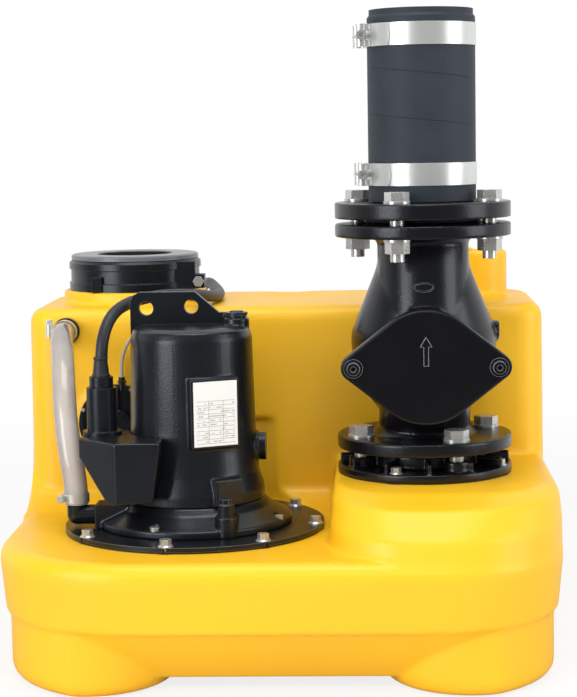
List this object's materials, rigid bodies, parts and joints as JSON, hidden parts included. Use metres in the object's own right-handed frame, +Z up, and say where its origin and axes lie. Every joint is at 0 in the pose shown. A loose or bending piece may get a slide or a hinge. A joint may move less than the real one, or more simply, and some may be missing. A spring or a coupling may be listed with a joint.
{
  "type": "sewage lifting station",
  "caption": "Moulded yellow sewage tank on feet with a submersible pump, a flanged swing check valve, a rubber discharge sleeve and an inlet seal.",
  "frame": {"origin": "middle of the tank's footprint, on the floor", "axes": "+X right, +Y to the back (the inlet side), +Z up"},
  "size_m": [0.629, 0.838, 0.734],
  "materials": {
    "tank_yellow": "satin, moulded, faint orange shading in the recesses",
    "pump_paint": "blue-black paint on a cast texture",
    "black_paint": "satin black paint on cast iron",
    "black_plastic": "moulded, semi-gloss",
    "zinc": "bright zinc plate",
    "polished_steel": "polished stainless steel band",
    "steel": "machined steel",
    "cast_iron": "as cast, painted inside the tank",
    "brass": "turned",
    "copper": "varnished copper wire",
    "black_rubber": "matt, fabric-marked surface",
    "cable_rubber": "matt sheath",
    "gasket_rubber": "flat sheet",
    "seal_rubber": "mid grey, matt",
    "clear_hose": "milky clear tube",
    "tube_grey": "light grey tube",
    "pipe_grey": "grey pipe",
    "plate_white": "blank white plate",
    "tie_black": "strap"
  },
  "bodies": {
    "root": {"tank": "tank_yellow", "tank_inserts": "brass", "inlet_collar": "black_plastic", "inlet_seal": "seal_rubber", "sensor_cover": "black_plastic", "sensor_cover_screws": "black_plastic", "sensor_tube_fittings": "black_plastic", "vent_hose": "clear_hose", "hose_nipple": "black_plastic", "hose_clamps": "polished_steel", "pump_plate": "pump_paint", "plate_gasket": "gasket_rubber", "plate_bolts": "zinc", "oil_chamber": "pump_paint", "base_screws": "black_paint", "elbow_fitting": "black_plastic", "motor_housing": "pump_paint", "nameplate": "plate_white", "oil_plugs": "black_paint", "lifting_screw": "black_paint", "lifting_bracket": "pump_paint", "bearing_bracket": "cast_iron", "shaft_bearings": "steel", "stator": "steel", "stator_windings": "copper", "volute": "cast_iron", "back_plate": "cast_iron", "volute_screws": "steel", "mechanical_seal": "steel", "discharge_pipe": "pipe_grey", "tank_flange": "black_paint", "tank_flange_gasket": "gasket_rubber", "tank_flange_screws": "zinc", "flange_gaskets": "gasket_rubber", "valve_body": "black_paint", "valve_cover": "black_paint", "cover_gasket": "gasket_rubber", "cover_screws": "black_paint", "flap_pin": "steel", "flange_bolts": "zinc", "flange_washers": "zinc", "flange_nuts": "zinc", "flange_stub": "black_plastic", "rubber_sleeve": "black_rubber", "band_clamps": "polished_steel", "clamp_bolts": "zinc", "terminal_box": "pump_paint", "cable_connector": "black_plastic", "connector_nut": "black_plastic", "power_cable": "cable_rubber", "cable_coil": "cable_rubber", "cable_tail": "cable_rubber", "cable_plug": "black_rubber", "coil_tie": "tie_black", "sensor_tube": "tube_grey"},
    "rotor": {"rotor_shaft": "steel", "rotor_core": "steel", "impeller": "cast_iron", "impeller_screw": "steel"},
    "flap": {"valve_flap": "seal_rubber"}
  },
  "joints": [
    {"name": "rotor_spin", "type": "hinge", "parent": "root", "child": "rotor", "pos_m": [-0.099, -0.088, 0.2], "axis": [0, 0, 1], "continuous": true},
    {"name": "flap_swing", "type": "hinge", "parent": "root", "child": "flap", "pos_m": [0.165, -0.0006, 0.361], "axis": [-1, 0, 0], "range_deg": [0, 70]}
  ]
}
